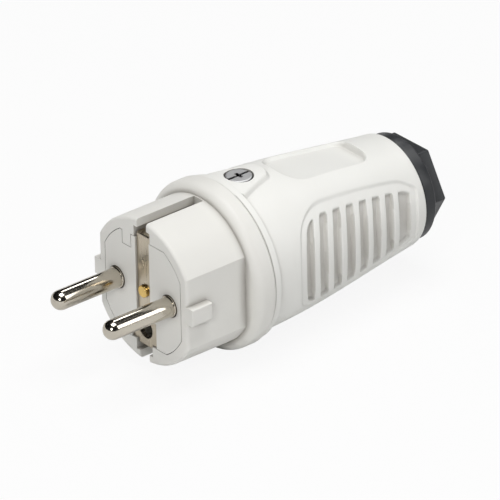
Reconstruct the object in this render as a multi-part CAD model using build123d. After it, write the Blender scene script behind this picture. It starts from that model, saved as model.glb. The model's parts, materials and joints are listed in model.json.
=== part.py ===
from build123d import *
import math
import os

# Rewirable earthed two-pin mains plug with side earth contacts and a cable gland, in millimetres.
# Origin at the centre of the engagement face. +Y runs back to the cable, +Z up to the fixing screw.

# Clearances
FIT = 0.1  # round pieces that push into each other
MOULD_GAP = 0.15  # open line round the carrier and between the two mouldings
PIN_HOLE_GAP = 0.2  # open ring round each pin's root
THREAD_GAP = 0.3  # plain cylinders that stand for threads
RUN_GAP = 0.3  # round the ring that turns in the gland nut

# Pins and their terminals
PIN_R = 2.4
PIN_REACH = 19.0
PIN_PITCH = 19.0
PIN_EDGE = 2.3  # rounding of the pin's tip, just under its radius
PIN_ROOT_STEP = 0.25  # thicker root, which begins just in front of the face
PIN_ROOT_OUT = 0.45
SHOULDER_R = 4.1
SHOULDER_LEN = 5.0
BARREL_R = 3.5
BARREL_LEN = 23.0
WIRE_R = 1.8
WIRE_DEPTH = 12.0
TAIL_R = 1.5  # earth terminal's tail, which passes through the strap
TAIL_OUT = 0.8  # its stub in front of the strap
TERMINAL_SCREW_R = 1.5
TERMINAL_SCREW_LEN = 4.4
SCREW_SLOT_W = 0.7
SCREW_SLOT_DEPTH = 0.8
GUARD_W = 2.4
GUARD_T = 0.3
GUARD_LIP = 2.6

# Nose and collar of the front shell
NOSE_WALL = 2.8
NOSE_SIDE_WALL = 2.3  # behind the side flats
NOSE_LEN = 17.5
NOSE_EDGE = 0.8
LUG_LEN = 6.0
LUG_H = 4.3
LUG_OUT = 2.0
LUG_EDGE = 0.3
COLLAR_OUT = 0.55  # over the housing's rim
COLLAR_LEN = 5.2
COLLAR_FRONT_EDGE = 2.2
COLLAR_REAR_EDGE = 0.6
SPIGOT_WALL = 1.25
SPIGOT_LEN = 9.5
SNAP_OUT = 0.4
SNAP_LEN = 0.8

# Contact carrier in the nose
CARRIER_BULGE = 1.9  # of its round corners over the side flats
CARRIER_TOP_CUT = 2.2
FLANGE_LEN = 2.5
KEY_W = 3.0
KEY_X = -5.6
KEY_H = 3.3
KEY_LEN = 3.0
RETAINER_T = 2.4
WEB_T = 0.9
WEB_H = 18.0
WEB_LEN = 17.0

# Earth strap, its slots and the sleeve for a socket's earth pin
STRAP_W = 4.8
STRAP_T = 1.2
STRAP_SET = 0.5  # strap's face behind the engagement face
STRAP_GAP = 0.2  # between its legs and the carrier
STRAP_BEND = 0.7
STRAP_PLATE_W = 8.7
STRAP_PLATE_TOP = 7.0
LEG_END_GAP = 0.5
SLOT_W = 3.4
SLOT_LIP = 2.15
CHANNEL_W = 5.8
SLEEVE_Z = -10.0
SLEEVE_R = 2.45
SLEEVE_WALL = 0.5
SLEEVE_LEN = 15.2
SLEEVE_SLIT = 0.6

# Housing
HOUSING_LEN = 51.4
RIM_WALL = 3.2
RIM_LEN = 1.8
RIM_EDGE = 0.35
RIM_FOOT = 0.5
RIM_STEP = 1.15
BELLY_DROP = 0.95  # fall of the barrel's radius from its shoulder
BELLY_AT = 19.2  # from the housing's front
WAIST_DROP = 3.1
WAIST_FROM_END = 15.2
END_DROP = 5.05
END_EDGE = 0.6
SPIGOT_BORE_LEN = 9.8
CAVITY_WALL = 3.0
CAVITY_FALL = 2.6
CAVITY_FLOOR = 2.0
SEAL_T = 1.2
SEAL_W = 1.4
SEAL_INSET = 1.5

# Raised boss round the fixing screw
BOSS_FRONT_W = 11.3
BOSS_REAR_W = 5.8
BOSS_FRONT_AT = 2.55  # from the housing's front
BOSS_REAR_AT = 11.35
BOSS_CROWN = 1.4
BOSS_TAPER = 0.35
BOSS_SLOPE = 0.7  # run of the sloped walls for each millimetre of height
BOSS_SKIRT = 3.5

# Fixing screw
SCREW_AT = 6.3  # from the housing's front
SCREW_HEAD_R = 3.2
SCREW_HEAD_H = 1.3
SCREW_HEAD_EDGE = 0.3
SCREW_R = 1.75
SCREW_LEN = 8.0
SCREW_SINK = 0.15
CROSS_W = 0.9
CROSS_LEN = 2.4
RECESS_R = 3.55
WASHER_T = 0.4
INSERT_WALL = 1.1
INSERT_LEN = 5.0
INSERT_BOSS_W = 8.4

# Badge pocket
BADGE_AT = 16.1  # from the housing's front
BADGE_END = 10.1  # from the housing's end
BADGE_FRONT_W = 13.8
BADGE_REAR_W = 11.8
BADGE_DEPTH = 1.9
BADGE_FRONT_CORNER = 5.4
BADGE_REAR_CORNER = 2.8

# Grip panels
GRIP_AT = 9.1  # from the housing's front
GRIP_END = 3.0  # from the housing's end
GRIP_BOW = 21.0
GRIP_FRONT_H = 26.6
GRIP_REAR_H = 15.8
GRIP_CROWN = 0.8
GRIP_FRONT_CORNER = 5.0
GRIP_REAR_CORNER = 3.2
GRIP_DEPTH = 0.5
GRIP_MARGIN = 2.0
RIB_AT = 5.45  # first rib, from the panel's front edge
RIB_PITCH = 4.5
RIB_W = 1.75
RIB_H = 1.5
RIB_CORNER = 0.5

# Gland
NUT_FLANGE_STEP = 0.8  # below the housing's end
NUT_FLANGE_LEN = 3.4
NUT_HEX_STEP = 1.15  # of the hexagon's corners below the flange
NUT_HEX_LEN = 4.0
NUT_EDGE = 0.5
NUT_CORNER = 0.6
NUT_WALL = 3.75
NUT_SHANK_LEN = 10.8
CABLE_R = 6.25
RING_T = 1.1
RING_SLEEVE_LEN = 1.8
RING_SLEEVE_WALL = 1.4
RING_BEAD = 0.6
RING_BEAD_LEN = 0.5
CAGE_WALL = 1.6
CAGE_RING_LEN = 3.4
CAGE_FINGER_LEN = 6.0
CAGE_TAPER = 1.1
CAGE_FINGERS = 8
CAGE_SLIT = 1.2
SEAL_BUSH_LEN = 3.2

# Radii and heights that follow from the sizes above, from the pins outwards
CARRIER_FLAT_X = PIN_PITCH / 2 + SHOULDER_R
CARRIER_R = CARRIER_FLAT_X + CARRIER_BULGE
CARRIER_FLAT_Z = CARRIER_R - CARRIER_TOP_CUT
NOSE_R = CARRIER_R + NOSE_WALL
NOSE_FLAT = CARRIER_FLAT_X + NOSE_SIDE_WALL
STRAP_Z = CARRIER_FLAT_Z + STRAP_GAP + STRAP_T
SPIGOT_BORE_R = CARRIER_R + MOULD_GAP + FIT
SPIGOT_R = SPIGOT_BORE_R + SPIGOT_WALL
HOUSING_BORE_R = SPIGOT_R + FIT
RIM_R = HOUSING_BORE_R + RIM_WALL
COLLAR_R = RIM_R + COLLAR_OUT
SHOULDER_BARREL_R = RIM_R - RIM_STEP
END_R = SHOULDER_BARREL_R - END_DROP
NUT_FLANGE_R = END_R - NUT_FLANGE_STEP
NUT_SHANK_R = CABLE_R + NUT_WALL

# Stations along the plug that follow from the sizes above
COLLAR_END = NOSE_LEN + COLLAR_LEN
HOUSING_FRONT = COLLAR_END + MOULD_GAP
HOUSING_END = HOUSING_FRONT + HOUSING_LEN
FLANGE_END = NOSE_LEN + FLANGE_LEN
RETAINER_END = FLANGE_END + RETAINER_T
BARREL_END = FLANGE_END + BARREL_LEN
SCREW_STATION = BARREL_END - WIRE_DEPTH / 2
SPIGOT_END = COLLAR_END + SPIGOT_LEN
CAVITY_FRONT = HOUSING_FRONT + SPIGOT_BORE_LEN
BOSS_TOP_R = RIM_R - BOSS_TAPER * SCREW_AT / BOSS_REAR_AT
FIXING_Y = HOUSING_FRONT + SCREW_AT
HEAD_TOP = BOSS_TOP_R - SCREW_SINK
HEAD_SEAT = HEAD_TOP - SCREW_HEAD_H
RECESS_FLOOR = HEAD_SEAT - WASHER_T
INSERT_R = SCREW_R + INSERT_WALL
INSERT_TOP = SPIGOT_R - 2 * FIT
INSERT_FLOOR = INSERT_TOP - INSERT_LEN
GLAND_BORE_R = NUT_SHANK_R + THREAD_GAP
CAGE_R = NUT_SHANK_R
CAGE_BORE_R = CAGE_R - CAGE_WALL
NUT_SEAT = HOUSING_END + MOULD_GAP
SHANK_END = NUT_SEAT - NUT_SHANK_LEN
RING_FRONT = SHANK_END - RUN_GAP - RING_T
CAGE_END = RING_FRONT - RUN_GAP
CAGE_FRONT = CAGE_END - CAGE_RING_LEN - CAGE_FINGER_LEN
CAVITY_END = CAGE_FRONT - FIT - CAVITY_FLOOR
SLEEVE_BACK = STRAP_SET + STRAP_T + SLEEVE_LEN
BARREL_STATIONS = (
    (SHOULDER_BARREL_R, HOUSING_FRONT + RIM_LEN + RIM_FOOT),
    (SHOULDER_BARREL_R - BELLY_DROP, HOUSING_FRONT + BELLY_AT),
    (SHOULDER_BARREL_R - WAIST_DROP, HOUSING_END - WAIST_FROM_END),
    (END_R, HOUSING_END),
)


def across(y):
    """Plane across the plug at depth y, with x to the right and y up as seen from the pins."""
    return Plane(origin=(0, y, 0), x_dir=(1, 0, 0), z_dir=(0, -1, 0))


def prism(outline, y0, y1):
    """Solid of an outline drawn across the plug, between two depths."""
    return extrude(across(y1) * outline, amount=y1 - y0)


def rod(r, y0, y1, x=0, z=0):
    """Cylinder along the plug."""
    return prism(Pos(x, z) * Circle(r), y0, y1)


def tube(r_out, r_in, y0, y1, x=0, z=0):
    """Hollow cylinder along the plug."""
    return prism(Pos(x, z) * (Circle(r_out) - Circle(r_in)), y0, y1)


def block(x0, x1, y0, y1, z0, z1):
    """Box between two corners."""
    centre = Pos((x0 + x1) / 2, (y0 + y1) / 2, (z0 + z1) / 2)
    return centre * Box(x1 - x0, y1 - y0, z1 - z0)


def post(r, z0, z1, x, y):
    """Upright cylinder."""
    return Pos(x, y, (z0 + z1) / 2) * Cylinder(r, z1 - z0)


def turned(points):
    """Solid of revolution about the plug's axis, from (radius, depth) points."""
    return revolve(make_face(Polyline(*points, close=True)), axis=Axis.Y)


def both_ends(upper):
    """A piece at the top of the plug and the same piece at the bottom."""
    return upper + mirror(upper, about=Plane.XY)


def both_sides(right):
    """A piece on the right of the plug and the same piece on the left."""
    return right + mirror(right, about=Plane.YZ)


def front_edges(solid):
    """Outer edges of the face that looks towards the socket."""
    return solid.faces().sort_by(Axis.Y)[0].outer_wire().edges()


def rear_edges(solid):
    """Outer edges of the face that looks towards the cable."""
    return solid.faces().sort_by(Axis.Y)[-1].outer_wire().edges()


def carrier_outline(grow=0):
    """Carrier's section: a circle cut by flats on all four sides."""
    flats = Rectangle(2 * (CARRIER_FLAT_X + grow), 2 * (CARRIER_FLAT_Z + grow))
    return Circle(CARRIER_R + grow) & flats


def key_block(grow=0):
    """Tab of the shell that keys the carrier, with room round it for the carrier's notch."""
    low = CARRIER_FLAT_Z - KEY_H - grow
    high = CARRIER_FLAT_Z + 2 * MOULD_GAP
    half = KEY_W / 2 + grow
    return block(KEY_X - half, KEY_X + half, 0, KEY_LEN + grow, low, high)


def front_shell():
    """Nose with flats, lugs and earth slots, the round collar, and the spigot that the housing fits over."""
    nose = prism(Circle(NOSE_R) & Rectangle(2 * NOSE_FLAT, 2 * NOSE_R), 0, NOSE_LEN + COLLAR_LEN / 2)
    nose = fillet(front_edges(nose), NOSE_EDGE)
    lug = block(NOSE_FLAT - LUG_OUT, NOSE_FLAT + LUG_OUT, 0, LUG_LEN, -LUG_H / 2, LUG_H / 2)
    lug = fillet(lug.faces().sort_by(Axis.X)[-1].edges(), LUG_EDGE)
    collar = rod(COLLAR_R, NOSE_LEN, COLLAR_END)
    collar = fillet(front_edges(collar), COLLAR_FRONT_EDGE)
    collar = fillet(rear_edges(collar), COLLAR_REAR_EDGE)
    shell = nose + both_sides(lug) + collar + rod(SPIGOT_R, NOSE_LEN, SPIGOT_END)
    shell -= prism(carrier_outline(MOULD_GAP), 0, NOSE_LEN)
    shell -= rod(SPIGOT_BORE_R, NOSE_LEN, SPIGOT_END)
    shell -= rod(SPIGOT_BORE_R + SNAP_OUT, FLANGE_END + FIT, FLANGE_END + SNAP_LEN + 3 * FIT)
    lip = NOSE_R - SLOT_LIP
    channel = block(-CHANNEL_W / 2, CHANNEL_W / 2, 0, NOSE_LEN, CARRIER_FLAT_Z - FIT, lip)
    slot = block(-SLOT_W / 2, SLOT_W / 2, 0, NOSE_LEN - LEG_END_GAP, lip - FIT, NOSE_R + 1)
    shell -= both_ends(channel + slot)
    shell += key_block()
    boss_floor = INSERT_FLOOR - INSERT_WALL
    half = INSERT_BOSS_W / 2
    boss = block(-half, half, RETAINER_END + FIT, SPIGOT_END, boss_floor, SPIGOT_R)
    shell += boss & rod(SPIGOT_BORE_R + SPIGOT_WALL / 2, COLLAR_END, SPIGOT_END)
    shell -= post(INSERT_R + FIT, INSERT_FLOOR, RIM_R, 0, FIXING_Y)
    return shell - post(SCREW_R + 2 * FIT, 0, INSERT_TOP, 0, FIXING_Y)


def pin_carrier():
    """Insulating block in the nose that holds the pins, the earth strap and the earth sleeve."""
    carrier = prism(carrier_outline(), 0, NOSE_LEN) + rod(CARRIER_R + MOULD_GAP, NOSE_LEN, FLANGE_END)
    floor = STRAP_SET + STRAP_T
    groove = STRAP_W / 2 + FIT
    plate = STRAP_PLATE_W / 2 + FIT
    carrier -= block(-groove, groove, 0, floor, -CARRIER_R, CARRIER_R)
    carrier -= block(-plate, plate, 0, floor, -CARRIER_R, FIT - STRAP_PLATE_TOP)
    carrier -= key_block(MOULD_GAP)
    pocket = FLANGE_END - SHOULDER_LEN
    hole_r = PIN_R + PIN_ROOT_STEP + PIN_HOLE_GAP
    for x, r in ((-PIN_PITCH / 2, hole_r), (0, TAIL_R + FIT), (PIN_PITCH / 2, hole_r)):
        carrier -= rod(r, 0, pocket, x)
        carrier -= rod(SHOULDER_R + FIT, pocket, FLANGE_END, x)
    return carrier - rod(SLEEVE_R + SLEEVE_WALL + FIT, floor, SLEEVE_BACK, z=SLEEVE_Z)


def pin_retainer():
    """Plate that snaps in behind the carrier, keeps the terminals in and parts their wires with two webs."""
    plate = rod(CARRIER_R + MOULD_GAP, FLANGE_END, RETAINER_END)
    bead_y = FLANGE_END + 2 * FIT
    plate += rod(SPIGOT_BORE_R + SNAP_OUT - FIT, bead_y, bead_y + SNAP_LEN)
    for x in (-PIN_PITCH / 2, 0, PIN_PITCH / 2):
        plate -= rod(BARREL_R + FIT, FLANGE_END, RETAINER_END, x)
    x0 = PIN_PITCH / 4 - WEB_T / 2
    web = block(x0, x0 + WEB_T, FLANGE_END, RETAINER_END + WEB_LEN, -WEB_H / 2, WEB_H / 2)
    return plate + both_sides(web)


def terminal(x):
    """Shoulder and barrel of a terminal, with its wire bore and its screw hole."""
    body = rod(SHOULDER_R, FLANGE_END - SHOULDER_LEN, FLANGE_END, x)
    body += rod(BARREL_R, FLANGE_END, BARREL_END, x)
    body -= rod(WIRE_R, BARREL_END - WIRE_DEPTH, BARREL_END, x)
    return body - post(TERMINAL_SCREW_R + FIT, 0, BARREL_R, x, SCREW_STATION)


def pin(x):
    """Solid round pin with its screw terminal."""
    shank = rod(PIN_R, -PIN_REACH, 0, x)
    root = rod(PIN_R + PIN_ROOT_STEP, -PIN_ROOT_OUT, FLANGE_END - SHOULDER_LEN, x)
    root = chamfer(front_edges(root), PIN_ROOT_STEP / 2)
    return fillet(front_edges(shank), PIN_EDGE) + root + terminal(x)


def earth_terminal():
    """Earth terminal, whose tail passes through the carrier and the strap and shows as a stub."""
    tail = rod(TAIL_R, STRAP_SET - TAIL_OUT, FLANGE_END - SHOULDER_LEN)
    return fillet(front_edges(tail), TAIL_R / 8) + terminal(0)


def terminal_screws():
    """Slotted set screw of each terminal."""
    screws = []
    tip = GUARD_T + FIT
    head = tip + TERMINAL_SCREW_LEN
    for x in (-PIN_PITCH / 2, 0, PIN_PITCH / 2):
        screw = post(TERMINAL_SCREW_R, tip, head, x, SCREW_STATION)
        slot = Box(SCREW_SLOT_W, 4 * TERMINAL_SCREW_R, 2 * SCREW_SLOT_DEPTH)
        screws.append(screw - Pos(x, SCREW_STATION, head) * slot)
    return Compound(screws)


def wire_guards():
    """Leaf under each terminal screw that spares the strands, hooked over the mouth of the wire bore."""
    guards = []
    for x in (-PIN_PITCH / 2, 0, PIN_PITCH / 2):
        x0 = x - GUARD_W / 2
        x1 = x + GUARD_W / 2
        leaf = block(x0, x1, BARREL_END - WIRE_DEPTH + GUARD_T, BARREL_END + GUARD_T, 0, GUARD_T)
        guards.append(leaf + block(x0, x1, BARREL_END, BARREL_END + GUARD_T, 0, GUARD_LIP))
    return Compound(guards)


def earth_strap():
    """Bent strip: a front run with a wider plate below, and two legs that are the side earth contacts."""
    leg_end = NOSE_LEN - LEG_END_GAP
    back = STRAP_SET + STRAP_T
    inner_z = STRAP_Z - STRAP_T
    outer = Pos((STRAP_SET + leg_end) / 2, 0) * Rectangle(leg_end - STRAP_SET, 2 * STRAP_Z)
    inner = Pos((back + leg_end) / 2, 0) * Rectangle(leg_end - back, 2 * inner_z)
    outer = fillet(outer.vertices().group_by(Axis.X)[0], STRAP_BEND)
    strap = extrude(Plane.YZ * (outer - inner), amount=STRAP_W / 2, both=True)
    half = STRAP_PLATE_W / 2
    strap += block(-half, half, STRAP_SET, back, -CARRIER_FLAT_Z, -STRAP_PLATE_TOP)
    strap -= rod(TAIL_R + FIT, STRAP_SET, back)
    return strap - rod(SLEEVE_R, STRAP_SET, back, z=SLEEVE_Z)


def earth_sleeve():
    """Rolled spring sleeve behind the strap that takes a socket's earth pin."""
    front = STRAP_SET + STRAP_T
    sleeve = tube(SLEEVE_R + SLEEVE_WALL, SLEEVE_R, front, SLEEVE_BACK, z=SLEEVE_Z)
    half = SLEEVE_SLIT / 2
    return sleeve - block(-half, half, front, SLEEVE_BACK, SLEEVE_Z - 2 * SLEEVE_R, SLEEVE_Z)


def barrel_curve(inset=0):
    """Line of the housing's barrel from its rim to its end, set in by a depth."""
    return Spline(*[(r - inset, y) for r, y in BARREL_STATIONS])


def barrel_radius(y):
    """Barrel's radius at a depth, found by halving along its line."""
    line = barrel_curve()
    low = 0.0
    high = 1.0
    for _ in range(40):
        middle = (low + high) / 2
        if (line @ middle).Y < y:
            low = middle
        else:
            high = middle
    return (line @ low).X


def barrel_core(inset):
    """Body of revolution under the barrel's surface."""
    line = barrel_curve(inset)
    closing = Polyline(line @ 1, (0, (line @ 1).Y), (0, (line @ 0).Y), line @ 0)
    return revolve(make_face([line, closing]), axis=Axis.Y)


def housing_form():
    """Outer form of the housing before anything is cut: rim, step and barrel."""
    line = barrel_curve()
    rim_end = HOUSING_FRONT + RIM_LEN
    rim = ((RIM_R, HOUSING_FRONT), (RIM_R, rim_end))
    closing = Polyline(line @ 1, (0, HOUSING_END), (0, HOUSING_FRONT), *rim, line @ 0)
    form = revolve(make_face([line, closing]), axis=Axis.Y)
    form = fillet(front_edges(form), RIM_EDGE)
    return fillet(rear_edges(form), END_EDGE)


def screw_boss():
    """Shield-shaped boss round the fixing screw, with sloped walls and a top that carries on from the rim."""
    y0 = HOUSING_FRONT + RIM_LEN / 2
    y1 = HOUSING_FRONT + BOSS_FRONT_AT
    y2 = HOUSING_FRONT + BOSS_REAR_AT
    front = BOSS_FRONT_W / 2
    rear = BOSS_REAR_W / 2
    sides = Polyline((rear, y2), (front, y1), (front, y0), (-front, y0), (-front, y1), (-rear, y2))
    top = make_face([sides, ThreePointArc((-rear, y2), (0, y2 + BOSS_CROWN), (rear, y2))])
    skirt = offset(top, amount=BOSS_SKIRT * BOSS_SLOPE, kind=Kind.INTERSECTION)
    cone = loft([Pos(0, 0, RIM_R - BOSS_SKIRT) * skirt, Pos(0, 0, RIM_R) * top], ruled=True)
    y3 = y2 + BOSS_CROWN + BOSS_SKIRT
    fall = BOSS_TAPER * (y3 - HOUSING_FRONT) / BOSS_REAR_AT
    cap = turned([(HOUSING_BORE_R, y0), (RIM_R, y0), (RIM_R - fall, y3), (HOUSING_BORE_R, y3)])
    return cone & cap


def badge_pocket():
    """Flat-floored pocket on top of the barrel, with rounded corners."""
    y0 = HOUSING_FRONT + BADGE_AT
    y1 = HOUSING_END - BADGE_END
    z0 = barrel_radius(y0) - BADGE_DEPTH
    z1 = barrel_radius(y1) - BADGE_DEPTH
    run = math.hypot(y1 - y0, z1 - z0)
    tilt = Vector(0, (z0 - z1) / run, (y1 - y0) / run)
    floor = Plane(origin=(0, y0, z0), x_dir=(1, 0, 0), z_dir=tilt)
    front = BADGE_FRONT_W / 2
    rear = BADGE_REAR_W / 2
    outline = make_face(Polyline((-front, 0), (front, 0), (rear, run), (-rear, run), close=True))
    outline = fillet(outline.vertices().group_by(Axis.Y)[0], BADGE_FRONT_CORNER)
    outline = fillet(outline.vertices().group_by(Axis.Y)[-1], BADGE_REAR_CORNER)
    return extrude(floor * outline, amount=RIM_R - z1)


def bowed_edge(y, half_height):
    """Depth of a bowed edge at a height off the middle, where y is its depth at the middle."""
    return y + GRIP_BOW - math.sqrt(GRIP_BOW**2 - half_height**2)


def grip_outline():
    """Side view of a grip panel: bowed ends, crowned long edges and rounded corners."""
    y0 = HOUSING_FRONT + GRIP_AT
    y1 = HOUSING_END - GRIP_END
    h0 = GRIP_FRONT_H / 2
    h1 = GRIP_REAR_H / 2
    upper_front = (bowed_edge(y0, h0), h0)
    upper_rear = (bowed_edge(y1, h1), h1)
    crown = ((upper_front[0] + upper_rear[0]) / 2, (h0 + h1) / 2 + GRIP_CROWN)
    lower_front = (upper_front[0], -h0)
    lower_rear = (upper_rear[0], -h1)
    front = ThreePointArc(lower_front, (y0, 0), upper_front)
    upper = ThreePointArc(upper_front, crown, upper_rear)
    rear = ThreePointArc(upper_rear, (y1, 0), lower_rear)
    lower = ThreePointArc(lower_rear, (crown[0], -crown[1]), lower_front)
    outline = make_face([front, upper, rear, lower])
    ends = outline.vertices().sort_by(Axis.X)
    outline = fillet(ends[:2], GRIP_FRONT_CORNER)
    ends = outline.vertices().sort_by(Axis.X)
    return fillet(ends[-2:], GRIP_REAR_CORNER)


def grip_slots():
    """Side view of the slots between the bowed ribs, inside the panel's margin and none a mere sliver."""
    y0 = HOUSING_FRONT + GRIP_AT
    y1 = HOUSING_END - GRIP_END
    slots = offset(grip_outline(), amount=-GRIP_MARGIN)
    last_slot = RIB_PITCH - RIB_W / 2
    count = int((y1 - y0 - RIB_AT - GRIP_MARGIN - last_slot) // RIB_PITCH) + 1
    for k in range(count):
        centre = Pos(y0 + RIB_AT + k * RIB_PITCH + GRIP_BOW, 0)
        slots -= centre * (Circle(GRIP_BOW + RIB_W / 2) - Circle(GRIP_BOW - RIB_W / 2))
    whole = [slot for slot in slots.faces() if slot.area > RIB_PITCH**2]
    return [offset(offset(slot, amount=-RIB_CORNER), amount=RIB_CORNER) for slot in whole]


def grip_cut():
    """What the panels and their slots take out of the barrel, on both sides."""
    reach = RIM_R
    panel = extrude(Plane.YZ * grip_outline(), amount=reach) - barrel_core(GRIP_DEPTH)
    floor = barrel_core(GRIP_DEPTH + RIB_H)
    for slot in grip_slots():
        panel += extrude(Plane.YZ * slot, amount=reach) - floor
    return both_sides(panel)


def housing():
    """Rear housing: barrel with rim, boss, badge pocket and grips, hollow for the wires and the gland."""
    cavity_r = barrel_radius(CAVITY_FRONT) - CAVITY_WALL - GRIP_DEPTH
    tip_r = CAGE_R - CAGE_TAPER + THREAD_GAP
    shell = housing_form() + screw_boss()
    shell -= turned(
        [
            (0, HOUSING_FRONT),
            (HOUSING_BORE_R, HOUSING_FRONT),
            (HOUSING_BORE_R, CAVITY_FRONT),
            (cavity_r, CAVITY_FRONT),
            (cavity_r - CAVITY_FALL, CAVITY_END),
            (CABLE_R + CAGE_WALL / 2, CAVITY_END),
            (CABLE_R + CAGE_WALL / 2, CAGE_FRONT - FIT),
            (tip_r, CAGE_FRONT - FIT),
            (GLAND_BORE_R, CAGE_FRONT + CAGE_FINGER_LEN),
            (GLAND_BORE_R, HOUSING_END),
            (0, HOUSING_END),
        ]
    )
    seal_in = HOUSING_BORE_R + SEAL_INSET - SEAL_W
    shell -= tube(seal_in + SEAL_W + FIT, seal_in - FIT, HOUSING_FRONT, HOUSING_FRONT + SEAL_T)
    shell -= badge_pocket()
    shell -= grip_cut()
    shell -= post(RECESS_R, RECESS_FLOOR, COLLAR_R, 0, FIXING_Y)
    return shell - post(SCREW_R + 2 * FIT, INSERT_TOP, RIM_R, 0, FIXING_Y)


def body_seal():
    """Flat rubber ring in the housing's front face, pressed by the collar."""
    seal_in = HOUSING_BORE_R + SEAL_INSET - SEAL_W
    return tube(seal_in + SEAL_W, seal_in, COLLAR_END, HOUSING_FRONT + SEAL_T)


def housing_screw():
    """Fixing screw with a low round head."""
    head = post(SCREW_HEAD_R, HEAD_SEAT, HEAD_TOP, 0, FIXING_Y)
    head = fillet(head.faces().sort_by(Axis.Z)[-1].edges(), SCREW_HEAD_EDGE)
    head -= Pos(0, FIXING_Y, HEAD_TOP) * Box(SCREW_SLOT_W, 4 * SCREW_HEAD_R, 2 * SCREW_SLOT_DEPTH)
    head -= Pos(0, FIXING_Y, HEAD_TOP) * Box(CROSS_LEN, CROSS_W, 2 * SCREW_SLOT_DEPTH)
    return head + post(SCREW_R, HEAD_SEAT - SCREW_LEN, HEAD_SEAT, 0, FIXING_Y)


def screw_washer():
    """Washer under the fixing screw's head."""
    washer = post(SCREW_HEAD_R, RECESS_FLOOR, HEAD_SEAT, 0, FIXING_Y)
    return washer - post(SCREW_R + FIT, 0, COLLAR_R, 0, FIXING_Y)


def screw_insert():
    """Threaded brass bush in the spigot that takes the fixing screw."""
    bush = post(INSERT_R, INSERT_FLOOR, INSERT_TOP, 0, FIXING_Y)
    return bush - post(SCREW_R + FIT, 0, COLLAR_R, 0, FIXING_Y)


def clamp_cage():
    """Collet of the gland, whose fingers close on the cable when they are pushed into the housing's cone."""
    ring_front = CAGE_END - CAGE_RING_LEN
    tip_r = CAGE_R - CAGE_TAPER
    cage = turned(
        [
            (CAGE_BORE_R, CAGE_END),
            (CAGE_R, CAGE_END),
            (CAGE_R, ring_front),
            (tip_r, CAGE_FRONT),
            (tip_r - CAGE_WALL, CAGE_FRONT),
            (CAGE_BORE_R, ring_front),
        ]
    )
    half = CAGE_SLIT / 2
    for k in range(CAGE_FINGERS):
        slit = block(-half, half, CAGE_FRONT, ring_front, 0, 2 * CAGE_R)
        cage -= Rot(0, 360 * k / CAGE_FINGERS, 0) * slit
    return cage


def gland_seal():
    """Rubber bush inside the cage, round the cable."""
    return tube(CAGE_BORE_R - FIT, CABLE_R, CAGE_END - SEAL_BUSH_LEN, CAGE_END)


def slip_ring():
    """Low-friction ring snapped into the gland nut's shank, which moves with the nut without turning."""
    sleeve_r = CABLE_R + RING_SLEEVE_WALL
    sleeve_end = SHANK_END + RING_SLEEVE_LEN
    return turned(
        [
            (CABLE_R, RING_FRONT),
            (NUT_SHANK_R, RING_FRONT),
            (NUT_SHANK_R, RING_FRONT + RING_T),
            (sleeve_r, RING_FRONT + RING_T),
            (sleeve_r, sleeve_end - RING_BEAD_LEN),
            (sleeve_r + RING_BEAD, sleeve_end - RING_BEAD_LEN),
            (sleeve_r + RING_BEAD, sleeve_end),
            (CABLE_R, sleeve_end),
        ]
    )


def gland_nut():
    """Gland nut: threaded shank, round flange and a hexagon for the spanner, with the cable's bore."""
    flange_end = NUT_SEAT + NUT_FLANGE_LEN
    end = flange_end + NUT_HEX_LEN
    flange = rod(NUT_FLANGE_R, NUT_SEAT, flange_end)
    flange = fillet(front_edges(flange) + rear_edges(flange), NUT_EDGE)
    hexagon = prism(RegularPolygon(NUT_FLANGE_R - NUT_HEX_STEP, 6), flange_end - NUT_FLANGE_LEN / 2, end)
    hexagon = fillet(hexagon.edges().filter_by(Axis.Y), NUT_CORNER)
    hexagon = fillet(rear_edges(hexagon), NUT_EDGE)
    nut = flange + hexagon + rod(NUT_SHANK_R, SHANK_END, NUT_SEAT)
    nut -= rod(CABLE_R, SHANK_END, end)
    sleeve_r = CABLE_R + RING_SLEEVE_WALL
    groove_end = SHANK_END + RING_SLEEVE_LEN + RUN_GAP
    nut -= rod(sleeve_r + RUN_GAP, SHANK_END, groove_end)
    return nut - rod(sleeve_r + RING_BEAD + RUN_GAP, groove_end - RING_BEAD_LEN - 2 * RUN_GAP, groove_end)


PIECES = {
    "front_shell": front_shell(),
    "pin_carrier": pin_carrier(),
    "pin_retainer": pin_retainer(),
    "pin_left": pin(-PIN_PITCH / 2),
    "pin_right": pin(PIN_PITCH / 2),
    "earth_terminal": earth_terminal(),
    "earth_strap": earth_strap(),
    "earth_sleeve": earth_sleeve(),
    "terminal_screws": terminal_screws(),
    "wire_guards": wire_guards(),
    "housing": housing(),
    "body_seal": body_seal(),
    "housing_screw": housing_screw(),
    "screw_washer": screw_washer(),
    "screw_insert": screw_insert(),
    "clamp_cage": clamp_cage(),
    "gland_seal": gland_seal(),
    "slip_ring": slip_ring(),
    "gland_nut": gland_nut(),
}

os.makedirs("parts", exist_ok=True)
for name, piece in PIECES.items():
    export_step(piece, f"parts/{name}.step")
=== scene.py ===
import json
import math
import bmesh
import bpy
import numpy as np
from mathutils import Matrix, Vector
from mathutils.bvhtree import BVHTree

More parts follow.
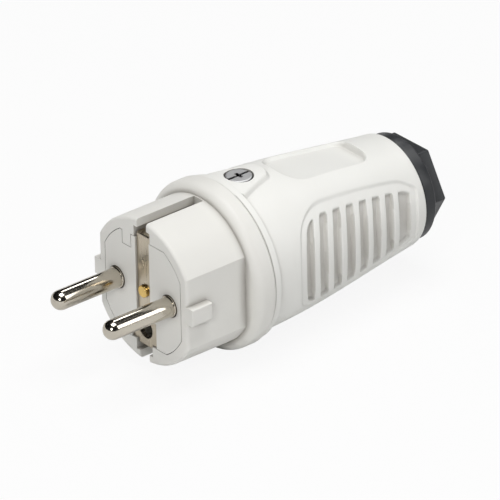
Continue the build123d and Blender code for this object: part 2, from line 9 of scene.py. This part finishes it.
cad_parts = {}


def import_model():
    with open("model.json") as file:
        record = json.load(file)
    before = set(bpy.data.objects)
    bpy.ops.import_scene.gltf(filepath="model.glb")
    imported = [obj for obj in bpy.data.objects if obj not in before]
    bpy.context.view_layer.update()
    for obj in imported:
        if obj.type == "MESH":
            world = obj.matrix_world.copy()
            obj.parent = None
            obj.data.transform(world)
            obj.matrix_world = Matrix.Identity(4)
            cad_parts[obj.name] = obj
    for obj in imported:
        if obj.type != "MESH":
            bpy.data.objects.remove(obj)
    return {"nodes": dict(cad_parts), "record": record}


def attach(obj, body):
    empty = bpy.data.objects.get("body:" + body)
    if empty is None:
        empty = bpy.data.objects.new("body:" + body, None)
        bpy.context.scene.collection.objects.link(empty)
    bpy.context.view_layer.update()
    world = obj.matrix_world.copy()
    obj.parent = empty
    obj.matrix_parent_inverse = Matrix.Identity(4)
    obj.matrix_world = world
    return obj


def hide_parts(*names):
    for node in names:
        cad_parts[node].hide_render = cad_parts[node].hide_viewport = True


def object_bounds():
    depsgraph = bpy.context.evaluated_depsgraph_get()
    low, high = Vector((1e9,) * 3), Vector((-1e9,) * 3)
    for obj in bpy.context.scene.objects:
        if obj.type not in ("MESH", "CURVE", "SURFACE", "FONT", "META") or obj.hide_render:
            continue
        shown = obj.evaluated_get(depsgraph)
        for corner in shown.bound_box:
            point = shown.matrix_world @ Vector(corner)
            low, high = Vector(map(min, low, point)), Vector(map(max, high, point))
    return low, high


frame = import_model()
cad_box = [list(c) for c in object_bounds()]
MM = 0.001
scene = bpy.context.scene
scene.view_settings.view_transform = "Standard"


# Camera at the photo's viewing angle. Angles are in degrees, lengths in mm, the focal length in pixels.
AZIMUTH = 50.82
ELEVATION = 28.39
ROLL = -1.29
CAMERA_DISTANCE = 2000
AIM_RIGHT = 24.605
AIM_UP = 9.533
FOCAL_PX = 8690
PICTURE_PX = 500
SENSOR = 36


def camera():
    az, el, roll = (math.radians(a) for a in (AZIMUTH, ELEVATION, ROLL))
    forward = Vector((-math.sin(az) * math.cos(el), math.cos(az) * math.cos(el), -math.sin(el)))
    right0 = Vector((math.cos(az), math.sin(az), 0))
    up0 = right0.cross(forward)
    right = right0 * math.cos(roll) + up0 * math.sin(roll)
    up = up0 * math.cos(roll) - right0 * math.sin(roll)
    place = (right * AIM_RIGHT + up * AIM_UP - forward * CAMERA_DISTANCE) * MM
    data = bpy.data.cameras.new("camera")
    data.sensor_width = SENSOR
    data.lens = FOCAL_PX / PICTURE_PX * SENSOR
    data.clip_end = 20
    ob = bpy.data.objects.new("camera", data)
    turn = Matrix((right, up, -forward)).transposed().to_4x4()
    ob.matrix_world = Matrix.Translation(place) @ turn
    scene.collection.objects.link(ob)
    scene.camera = ob


# Materials
def material(name):
    mat = bpy.data.materials.new(name)
    mat.use_nodes = True
    nodes = mat.node_tree.nodes
    return mat, nodes, mat.node_tree.links, nodes["Principled BSDF"]


def add(nodes, kind, **values):
    node = nodes.new(kind)
    for key, value in values.items():
        if key in node.inputs:
            node.inputs[key].default_value = value
        else:
            setattr(node, key, value)
    return node


def noise(nodes, links, scale, detail=3.0, stretch=None):
    coords = add(nodes, "ShaderNodeTexCoord")
    tex = add(nodes, "ShaderNodeTexNoise", Scale=scale, Detail=detail)
    if stretch:
        mapping = add(nodes, "ShaderNodeMapping")
        mapping.inputs["Scale"].default_value = stretch
        links.new(coords.outputs["Object"], mapping.inputs["Vector"])
        links.new(mapping.outputs["Vector"], tex.inputs["Vector"])
    else:
        links.new(coords.outputs["Object"], tex.inputs["Vector"])
    return tex


def ramp(nodes, links, source, low, high, colours):
    node = add(nodes, "ShaderNodeValToRGB")
    node.color_ramp.elements[0].position = low
    node.color_ramp.elements[1].position = high
    for element, colour in zip(node.color_ramp.elements, colours):
        element.color = (*colour, 1) if len(colour) == 3 else colour
    links.new(source, node.inputs["Fac"])
    return node


def bump(nodes, links, bsdf, source, strength, distance):
    node = add(nodes, "ShaderNodeBump", Strength=strength, Distance=distance)
    links.new(source, node.inputs["Height"])
    links.new(node.outputs["Normal"], bsdf.inputs["Normal"])


def rough(nodes, links, bsdf, source, low, high):
    node = add(nodes, "ShaderNodeMapRange")
    node.inputs["To Min"].default_value = low
    node.inputs["To Max"].default_value = high
    links.new(source, node.inputs["Value"])
    links.new(node.outputs["Result"], bsdf.inputs["Roughness"])


def painted_crevice_shade(nodes, links, surface, deep, reach=0.003, low=0.40, high=0.92):
    """Painted shade: darken a colour by ambient occlusion where the surface sits deep in a gap or groove."""
    open_sky = add(nodes, "ShaderNodeAmbientOcclusion", Distance=reach, samples=12)
    share = add(nodes, "ShaderNodeMapRange")
    share.inputs["From Min"].default_value = low
    share.inputs["From Max"].default_value = high
    links.new(open_sky.outputs["AO"], share.inputs["Value"])
    # mix toward the painted shade colour where ambient occlusion is strong
    painted_shade_mix = add(nodes, "ShaderNodeMix", data_type="RGBA")
    painted_shade_mix.inputs[6].default_value = (*deep, 1)
    links.new(share.outputs["Result"], painted_shade_mix.inputs["Factor"])
    links.new(surface, painted_shade_mix.inputs[7])
    return painted_shade_mix.outputs[2]


def moulded(name, colour, shade, low, high, specular=0.4, deep=None, slot_shade=None):
    """Moulded plastic or rubber: fine grain, faint cloudy tint, uneven gloss, painted shade in crevices and
    on slot floors.
    """
    mat, nodes, links, bsdf = material(name)
    cloud = noise(nodes, links, 60, 2)
    surface = ramp(nodes, links, cloud.outputs["Fac"], 0.35, 0.65, (shade, colour)).outputs["Color"]
    # painted shade: crevices darkened by ambient occlusion
    if deep:
        surface = painted_crevice_shade(nodes, links, surface, deep)
    # painted shade: slot floors darkened by the mesh's slot attribute
    if slot_shade:
        floor = add(nodes, "ShaderNodeAttribute", attribute_name="slot")
        slot_shade_mix = add(nodes, "ShaderNodeMix", data_type="RGBA")
        slot_shade_mix.inputs[7].default_value = (*slot_shade, 1)
        links.new(floor.outputs["Fac"], slot_shade_mix.inputs["Factor"])
        links.new(surface, slot_shade_mix.inputs[6])
        surface = slot_shade_mix.outputs[2]
    links.new(surface, bsdf.inputs["Base Color"])
    fine = noise(nodes, links, 2600, 2)
    rough(nodes, links, bsdf, fine.outputs["Fac"], low, high)
    bump(nodes, links, bsdf, fine.outputs["Fac"], 0.25, 0.00002)
    bsdf.inputs["Specular IOR Level"].default_value = specular
    return mat


def plated(name, colour, shade, low, high, stretch, deep=None):
    """Plated metal with the fine lines that turning or rolling leaves."""
    mat, nodes, links, bsdf = material(name)
    bsdf.inputs["Metallic"].default_value = 1
    cloud = noise(nodes, links, 180, 3)
    surface = ramp(nodes, links, cloud.outputs["Fac"], 0.3, 0.7, (shade, colour)).outputs["Color"]
    # painted shade: crevices darkened by ambient occlusion
    if deep:
        surface = painted_crevice_shade(nodes, links, surface, deep, 0.0012, 0.35, 0.75)
    links.new(surface, bsdf.inputs["Base Color"])
    lines = noise(nodes, links, 900, 2, stretch)
    rough(nodes, links, bsdf, lines.outputs["Fac"], low, high)
    bump(nodes, links, bsdf, lines.outputs["Fac"], 0.12, 0.000008)
    return mat


MATS = {
    # shell: the deep colour is painted shade in gaps and grooves
    "shell_plastic": moulded(
        "shell_plastic", (0.80, 0.79, 0.75), (0.775, 0.765, 0.725), 0.36, 0.48, deep=(0.36, 0.34, 0.31)
    ),
    # housing: the deep colour is painted shade in gaps and grooves, the last colour is painted shade on the
    # grip's slot floors
    "housing_rubber": moulded(
        "housing_rubber", (0.85, 0.847, 0.812), (0.83, 0.827, 0.792), 0.38, 0.50,
        deep=(0.50, 0.485, 0.45), slot_shade=(0.64, 0.625, 0.59)
    ),
    "inner_plastic": moulded("inner_plastic", (0.56, 0.56, 0.54), (0.52, 0.52, 0.50), 0.40, 0.52),
    "nickel": plated("nickel", (0.64, 0.595, 0.51), (0.58, 0.535, 0.46), 0.11, 0.19, (1, 0.05, 1)),
    "strap_nickel": plated("strap_nickel", (0.62, 0.55, 0.44), (0.55, 0.49, 0.39), 0.22, 0.34, (1, 1, 0.06)),
    # paler, rougher copy of the nickel for the earth sleeve: the rougher gloss is a finish, the paler colour
    # is painted light inside the shaded hole
    "sleeve_nickel_painted_light": plated("sleeve_nickel_painted_light", (0.86, 0.84, 0.80), (0.78, 0.76, 0.72), 0.34, 0.46, (1, 0.1, 1)),
    "brass": plated("brass", (0.83, 0.58, 0.20), (0.72, 0.49, 0.16), 0.20, 0.30, (1, 0.1, 1)),
    # screw: the deep colour is painted shade in its drive slots and gaps
    "zinc_steel": plated(
        "zinc_steel", (0.78, 0.78, 0.78), (0.70, 0.70, 0.71), 0.42, 0.55, (0.2, 1, 1),
        deep=(0.05, 0.05, 0.055),
    ),
    "seal_rubber": moulded("seal_rubber", (0.030, 0.030, 0.030), (0.022, 0.022, 0.022), 0.55, 0.7),
    "nut_plastic": moulded(
        "nut_plastic", (0.021, 0.023, 0.026), (0.017, 0.019, 0.022), 0.30, 0.40, specular=0.5
    ),
}
SLOT_OF = {s["node"]: s["material_slot"] for s in frame["record"]["subparts"]}
BODY_OF = {n: b for b, ns in frame["record"]["behaviour"]["bodies"].items() for n in ns}


# Pieces
def new_piece(name, mesh, body, slot):
    ob = bpy.data.objects.new(name, mesh)
    scene.collection.objects.link(ob)
    mesh.materials.clear()
    mesh.materials.append(MATS[slot])
    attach(ob, body)
    return ob


def smooth(mesh, angle=30):
    mesh.polygons.foreach_set("use_smooth", [True] * len(mesh.polygons))
    mesh.set_sharp_from_angle(angle=math.radians(angle))


def soft_edged(node, width, segments, angle=28):
    """Copy of a CAD node with its flat facets joined and its edges rounded, shown in the node's place."""
    mesh = frame["nodes"][node].data.copy()
    mesh.name = node + "_soft"
    bm = bmesh.new()
    bm.from_mesh(mesh)
    bmesh.ops.remove_doubles(bm, verts=bm.verts, dist=2e-6)
    flat = math.radians(0.6)
    bmesh.ops.dissolve_limit(bm, angle_limit=flat, verts=bm.verts, edges=bm.edges)
    bm.to_mesh(mesh)
    bm.free()
    smooth(mesh, 180)
    ob = new_piece(node + "_soft", mesh, BODY_OF[node], SLOT_OF[node])
    bevel = ob.modifiers.new("edges", "BEVEL")
    bevel.width = width * MM
    bevel.segments = segments
    bevel.limit_method = "ANGLE"
    bevel.angle_limit = math.radians(angle)
    bevel.harden_normals = True
    bevel.miter_outer = "MITER_ARC"
    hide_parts(node)
    return ob


# Housing: the CAD form drawn again as one closed skin over depth and angle, with its edges softened.
def soft_step(t):
    t = np.clip(t, 0, 1)
    return t * t * (3 - 2 * t)


def soft_max(a, b, k):
    return np.maximum(a, b) + np.maximum(k - np.abs(a - b), 0) ** 2 / (4 * k)


def soft_min(a, b, k):
    return -soft_max(-a, -b, k)


def round_corner(a, b, r):
    """Distance to the overlap of two regions, with their common corner rounded."""
    return np.minimum(-r, np.maximum(a, b)) + np.hypot(np.maximum(a + r, 0), np.maximum(b + r, 0))


HOUSING = {"front": 22.85, "end": 74.25, "rim": 20.3, "rim_end": 25.5}
INSIDE = [(18.7, 22.85), (18.7, 24.05), (17.1, 24.05), (17.1, 32.65), (15.449, 32.65), (12.849, 50.4)]
INSIDE += [(7.05, 50.4), (7.05, 52.4), (9.2, 52.4), (10.3, 58.5), (10.3, 74.25)]
GRIP = {"front": 31.95, "end": 71.25, "h0": 13.3, "h1": 7.9}
GRIP |= {"bow": 21.0, "crown": 0.8, "margin": 2.0, "depth": 0.5}
GRIP_CORNERS = {"front": 5.0, "rear": 3.2}
RIBS = {"first": 5.45, "pitch": 4.5, "width": 1.75, "count": 7, "height": 1.5, "corner": 0.5}
SLOT_ENDS = {"share": 0.6, "run": 5.0}
BOSS = {"front": 25.4, "rear": 34.2, "front_half": 5.65, "rear_half": 2.9, "tail": 31.9, "tail_r": 3.7}
BOSS_TOP = {"slope": 0.7, "fall": 0.35, "length": 11.35}
POCKET = {"front": 38.95, "end": 64.15, "front_half": 6.9, "rear_half": 5.9, "depth": 1.9, "wall": 0.4}
POCKET_CORNERS = {"front": 5.4, "rear": 2.8}
SCREW = {"y": 29.15, "recess_r": 3.55, "seat": 18.255, "hole_r": 1.95, "low": 16.5, "high": 22}
SWING = {"full_until": 70.2, "end": 73.5, "spare": 1.0, "top_angle": 28, "fade_angle": 15}


def grip_shares(y, z):
    """Share of full depth of the grip panel and of its slots at a place in the side view."""
    bow = GRIP["bow"]
    up = np.abs(z)
    ends = [GRIP[e] + bow - math.sqrt(bow**2 - GRIP[h] ** 2) for e, h in (("front", "h0"), ("end", "h1"))]
    mid = ((ends[0] + ends[1]) / 2, (GRIP["h0"] + GRIP["h1"]) / 2 + GRIP["crown"])
    (ax, ay), (bx, by), (cx, cy) = (ends[0], GRIP["h0"]), mid, (ends[1], GRIP["h1"])
    d = 2 * (ax * (by - cy) + bx * (cy - ay) + cx * (ay - by))
    sa, sb, sc = ax * ax + ay * ay, bx * bx + by * by, cx * cx + cy * cy
    ux = (sa * (by - cy) + sb * (cy - ay) + sc * (ay - by)) / d
    uy = (sa * (cx - bx) + sb * (ax - cx) + sc * (bx - ax)) / d
    long_side = np.hypot(y - ux, up - uy) - math.hypot(ax - ux, ay - uy)
    front = np.hypot(y - GRIP["front"] - bow, z) - bow
    rear = bow - np.hypot(y - GRIP["end"] - bow, z)
    panel = round_corner(front, long_side, GRIP_CORNERS["front"])
    panel = np.maximum(panel, round_corner(rear, long_side, GRIP_CORNERS["rear"]))
    ribs = np.full_like(y, 99.0)
    for k in range(RIBS["count"]):
        centre = GRIP["front"] + RIBS["first"] + k * RIBS["pitch"] + bow
        ribs = np.minimum(ribs, np.abs(np.hypot(y - centre, z) - bow) - RIBS["width"] / 2)
    slot = round_corner(panel + GRIP["margin"], -ribs, RIBS["corner"])
    fade = soft_step(-(long_side + GRIP["margin"]) / SLOT_ENDS["run"])
    fade = SLOT_ENDS["share"] + (1 - SLOT_ENDS["share"]) * fade
    return soft_step(0.5 - panel / 0.65), fade * soft_step(0.15 - slot / 0.28)


def boss_radius(y, x, phi):
    """Radius of the screw boss: a top that carries on from the rim, and sloped walls round a shield shape."""
    x = np.abs(x)
    along = BOSS["rear"] - BOSS["front"]
    across = BOSS["front_half"] - BOSS["rear_half"]
    run = math.hypot(along, across)
    wide = x - BOSS["front_half"]
    side = np.maximum(wide * along / run + (y - BOSS["front"]) * across / run, wide)
    tail = np.where(y > BOSS["tail"], np.hypot(x, y - BOSS["tail"]) - BOSS["tail_r"], -9.0)
    out = np.maximum(soft_max(side, tail, 0.15), -9)
    wall = (HOUSING["rim"] - out / BOSS_TOP["slope"]) / np.maximum(np.cos(phi), 0.2)
    top = HOUSING["rim"] - BOSS_TOP["fall"] * (y - HOUSING["front"]) / BOSS_TOP["length"]
    return soft_min(top, wall, 0.13)


def pocket_share(y, x):
    """How far down into the badge pocket a place is: 0 at its rim and 1 on its floor."""
    along = (y - POCKET["front"]) / (POCKET["end"] - POCKET["front"])
    side = np.abs(x) - POCKET["front_half"] + along * (POCKET["front_half"] - POCKET["rear_half"])
    front = round_corner(side, POCKET["front"] - y, POCKET_CORNERS["front"])
    rear = round_corner(side, y - POCKET["end"], POCKET_CORNERS["rear"])
    return soft_step(-np.maximum(front, rear) / POCKET["wall"])


def row_swing(y, height, a):
    """How far back the mesh's rows swing at the sides, to run along the bowed ribs."""
    ends = [GRIP["front"], GRIP["end"]]
    tallest = np.interp(y, ends, [GRIP["h0"] + SWING["spare"], GRIP["h1"] + SWING["spare"]])
    height = np.minimum(height, tallest)
    bow = GRIP["bow"] - np.sqrt(GRIP["bow"] ** 2 - height**2)
    from_top = np.degrees(np.arccos(np.abs(np.cos(a))))
    at_side = np.clip((from_top - SWING["top_angle"]) / SWING["fade_angle"], 0, 1)
    stations = [HOUSING["rim_end"], GRIP["front"], SWING["full_until"], SWING["end"]]
    return bow * at_side * np.interp(y, stations, [0, 1, 1, 0])


def housing_skin(cad):
    """Closed mesh of the housing, and its barrel's radius row by row."""
    tree = BVHTree.FromObject(cad, bpy.context.evaluated_depsgraph_get())
    y0, y1 = HOUSING["front"], HOUSING["end"]
    rows = np.concatenate([
        np.linspace(y0, y0 + 0.4, 6)[:-1],
        np.linspace(y0 + 0.4, y0 + 2.6, 24)[:-1],
        np.linspace(y0 + 2.6, y1 - 0.7, 308)[:-1],
        np.linspace(y1 - 0.7, y1, 9),
    ])
    barrel = []
    for y in np.clip(rows, y0 + 0.002, y1 - 0.002):
        hit = tree.ray_cast(Vector((0, y * MM, -0.04)), Vector((0, 0, 1)))[0]
        barrel.append(-hit.z / MM)
    half = [np.linspace(0, 24, 35)[:-1], np.linspace(24, 46, 19)[:-1], np.linspace(46, 66, 22)[:-1]]
    half += [np.linspace(66, 114, 30)[:-1], np.linspace(114, 136, 23)[:-1], np.linspace(136, 180, 12)[:-1]]
    half = np.concatenate(half)
    phi = np.radians(np.concatenate([half, 180 + half[:1], 360 - half[:0:-1]]))
    a = np.repeat(phi[None, :], len(rows), 0)
    y = np.repeat(rows[:, None], len(phi), 1)
    for _ in range(6):
        height = (np.interp(y, rows, barrel) - GRIP["depth"]) * np.abs(np.cos(a))
        y = rows[:, None] + row_swing(rows[:, None], height, a)
    base = np.interp(y, rows, barrel)
    panel, slot = grip_shares(y, (base - GRIP["depth"]) * np.cos(a))
    r = base - GRIP["depth"] * panel - RIBS["height"] * slot
    near_top = np.cos(a) > 0.7
    boss = np.where(near_top, boss_radius(y, (base + 0.8) * np.sin(a), a), 0)
    r = soft_max(r, boss, np.where(y < y0 + 2.3, 0.01, 0.12))
    floor0, floor1 = (np.interp(POCKET[end], rows, barrel) - POCKET["depth"] for end in ("front", "end"))
    floor = floor0 + (floor1 - floor0) * (y - POCKET["front"]) / (POCKET["end"] - POCKET["front"])
    deep = np.where(near_top, np.maximum(base - floor / np.maximum(np.cos(a), 0.5), 0), 0)
    r -= deep * pocket_share(y, (base - 0.4) * np.sin(a))
    rings = [(r[i] * np.sin(phi), y[i], r[i] * np.cos(phi)) for i in range(len(rows))]
    rings += [(q * np.sin(phi), np.full(len(phi), at), q * np.cos(phi)) for q, at in reversed(INSIDE)]
    points = np.concatenate([np.stack(ring, 1) for ring in rings]) * MM
    n, m = len(phi), len(rings)
    i, j = (g.ravel() for g in np.meshgrid(np.arange(m), np.arange(n), indexing="ij"))
    i2, j2 = (i + 1) % m, (j + 1) % n
    faces = np.stack([i * n + j, i * n + j2, i2 * n + j2, i2 * n + j], 1)
    mesh = bpy.data.meshes.new("housing_skin")
    mesh.from_pydata(points.tolist(), [], faces.tolist())
    bm = bmesh.new()
    bm.from_mesh(mesh)
    bmesh.ops.recalc_face_normals(bm, faces=bm.faces)
    bm.to_mesh(mesh)
    bm.free()
    return mesh, rows, barrel


def bored(ob, holes):
    """Cut upright round holes (radius, bottom, top, y) and keep the result as plain mesh."""
    for radius, low, high, y in holes:
        mesh = bpy.data.meshes.new("cutter")
        bm = bmesh.new()
        place = Matrix.Translation((0, y * MM, (low + high) / 2 * MM))
        bmesh.ops.create_cone(bm, cap_ends=True, segments=96, radius1=radius * MM, radius2=radius * MM,
                              depth=(high - low) * MM, matrix=place)
        bm.to_mesh(mesh)
        bm.free()
        cutter = bpy.data.objects.new("cutter", mesh)
        scene.collection.objects.link(cutter)
        cut = ob.modifiers.new("hole", "BOOLEAN")
        cut.operation = "DIFFERENCE"
        cut.solver = "MANIFOLD"
        cut.object = cutter
        graph = bpy.context.evaluated_depsgraph_get()
        done = bpy.data.meshes.new_from_object(ob.evaluated_get(graph))
        ob.modifiers.clear()
        ob.data = done
        bpy.data.objects.remove(cutter)
    return ob


def housing_piece():
    mesh, rows, barrel = housing_skin(frame["nodes"]["housing"])
    ob = new_piece("housing_skin", mesh, BODY_OF["housing"], SLOT_OF["housing"])
    recess = (SCREW["recess_r"], SCREW["seat"], SCREW["high"], SCREW["y"])
    hole = (SCREW["hole_r"], SCREW["low"], SCREW["high"], SCREW["y"])
    bored(ob, [recess, hole])
    ob.data.materials.clear()
    ob.data.materials.append(MATS[SLOT_OF["housing"]])
    smooth(ob.data, 72)
    place = np.empty(3 * len(ob.data.vertices))
    ob.data.vertices.foreach_get("co", place)
    x, y, z = place.reshape(-1, 3).T / MM
    r = np.hypot(x, z)
    base = np.interp(y, rows, barrel)
    # slot share per vertex: the housing material paints shade on the slot floors from it
    slot = np.where(r > base - 2.4, grip_shares(y, (base - GRIP["depth"]) * z / r)[1], 0)
    ob.data.attributes.new("slot", "FLOAT", "POINT").data.foreach_set("value", slot)
    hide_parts("housing")


def thread(name, body, slot, radius, height, pitch, y0, y1, steps=72):
    """Ridge of a screw thread round the plug's axis, run out at both ends."""
    turns = (y1 - y0) / pitch
    count = int(turns * steps)
    points, faces = [], []
    for i in range(count + 1):
        share = i / count
        angle = 2 * math.pi * turns * share
        tall = height * min(1, share * turns * 3, (1 - share) * turns * 3)
        wide = 0.36 * pitch
        y = y0 + (y1 - y0) * share
        root, crest = radius - 0.15, radius + tall
        for r, dy in ((root, -wide), (crest, -0.08), (crest, 0.08), (root, wide)):
            points.append((r * math.sin(angle) * MM, (y + dy) * MM, r * math.cos(angle) * MM))
        if i:
            a, b = 4 * (i - 1), 4 * i
            faces += [(a + k, b + k, b + (k + 1) % 4, a + (k + 1) % 4) for k in range(4)]
    faces += [(0, 1, 2, 3), (4 * count + 3, 4 * count + 2, 4 * count + 1, 4 * count)]
    mesh = bpy.data.meshes.new(name)
    mesh.from_pydata(points, [], faces)
    bm = bmesh.new()
    bm.from_mesh(mesh)
    bmesh.ops.recalc_face_normals(bm, faces=bm.faces)
    bm.to_mesh(mesh)
    bm.free()
    smooth(mesh, 25)
    return new_piece(name, mesh, body, slot)


for node, ob in frame["nodes"].items():
    ob.data.materials.clear()
    # the earth sleeve takes the paler nickel copy, which is painted light in its hole
    ob.data.materials.append(MATS["sleeve_nickel_painted_light" if node == "earth_sleeve" else SLOT_OF[node]])


housing_piece()
soft_edged("gland_nut", width=0.4, segments=3)
nut = {"body": BODY_OF["gland_nut"], "slot": SLOT_OF["gland_nut"]}
thread("nut_thread", **nut, radius=10.0, height=0.24, pitch=1.5, y0=64.6, y1=73.2)


# Stage
def stage():
    low = cad_box[0][2]
    mesh = bpy.data.meshes.new("floor")
    mesh.from_pydata([(-3, -3, low), (3, -3, low), (3, 3, low), (-3, 3, low)], [], [(0, 1, 2, 3)])
    floor = bpy.data.objects.new("floor", mesh)
    scene.collection.objects.link(floor)
    mat, nodes, links, bsdf = material("floor")
    bsdf.inputs["Base Color"].default_value = (0.78, 0.78, 0.78, 1)
    bsdf.inputs["Roughness"].default_value = 0.9
    glow = add(nodes, "ShaderNodeEmission", Strength=1.0)
    path = add(nodes, "ShaderNodeLightPath")
    share = add(nodes, "ShaderNodeMath", operation="MULTIPLY")
    share.inputs[1].default_value = 0.9
    mix = add(nodes, "ShaderNodeMixShader")
    links.new(path.outputs["Is Camera Ray"], share.inputs[0])
    links.new(share.outputs[0], mix.inputs["Fac"])
    links.new(bsdf.outputs[0], mix.inputs[1])
    links.new(glow.outputs[0], mix.inputs[2])
    links.new(mix.outputs[0], nodes["Material Output"].inputs["Surface"])
    mesh.materials.append(mat)


def dark_hall():
    """Dark studio round the lamps, which only the polished metal mirrors."""
    mesh = bpy.data.meshes.new("hall")
    bm = bmesh.new()
    bmesh.ops.create_uvsphere(bm, u_segments=32, v_segments=24, radius=1.6)
    below = [v for v in bm.verts if v.co.z < cad_box[0][2] + 0.12]
    bmesh.ops.delete(bm, geom=below, context="VERTS")
    bm.to_mesh(mesh)
    bm.free()
    ob = bpy.data.objects.new("hall", mesh)
    scene.collection.objects.link(ob)
    mat, nodes, links, bsdf = material("hall")
    bsdf.inputs["Base Color"].default_value = (0.02, 0.02, 0.02, 1)
    bsdf.inputs["Roughness"].default_value = 1
    mesh.materials.append(mat)
    ob.visible_camera = False
    ob.visible_diffuse = False
    ob.visible_transmission = False
    ob.visible_shadow = False


def world():
    w = bpy.data.worlds.new("world")
    scene.world = w
    w.use_nodes = True
    nodes, links = w.node_tree.nodes, w.node_tree.links
    path = add(nodes, "ShaderNodeLightPath")
    seen = add(nodes, "ShaderNodeMath", operation="MAXIMUM")
    seen2 = add(nodes, "ShaderNodeMath", operation="MAXIMUM")
    links.new(path.outputs["Is Camera Ray"], seen.inputs[0])
    links.new(path.outputs["Is Glossy Ray"], seen.inputs[1])
    links.new(seen.outputs[0], seen2.inputs[0])
    links.new(path.outputs["Is Transmission Ray"], seen2.inputs[1])
    level = add(nodes, "ShaderNodeMapRange")
    level.inputs["To Min"].default_value = 0.33
    level.inputs["To Max"].default_value = 1.0
    links.new(seen2.outputs[0], level.inputs["Value"])
    links.new(level.outputs["Result"], nodes["Background"].inputs["Strength"])
    nodes["Background"].inputs["Color"].default_value = (1, 1, 1, 1)


def lamp(name, place, target, size, power, mirrored_only=False):
    data = bpy.data.lights.new(name, "AREA")
    data.shape = "RECTANGLE"
    data.size, data.size_y = size
    data.energy = power
    ob = bpy.data.objects.new(name, data)
    ob.location = place
    ob.rotation_euler = (Vector(target) - Vector(place)).to_track_quat("-Z", "Y").to_euler()
    ob.visible_diffuse = not mirrored_only
    scene.collection.objects.link(ob)


camera()
stage()
world()
dark_hall()
lamp("top", (0.10, 0.05, 0.80), (0, 0.03, 0), (0.5, 0.5), 4.15)
lamp("front right", (0.42, -0.60, 0.45), (0, 0.03, 0), (0.22, 0.22), 1.9)
lamp("rear right", (0.62, 0.52, 0.42), (0, 0.02, 0), (0.22, 0.5), 1.15, mirrored_only=True)
lamp("rear left", (-0.40, 0.50, 0.62), (0, 0.02, 0), (0.16, 0.16), 0.5, mirrored_only=True)
lamp("behind", (0.018, 0.161, 0.136), (0.007, 0.078, 0.012), (0.10, 0.10), 0.06, mirrored_only=True)
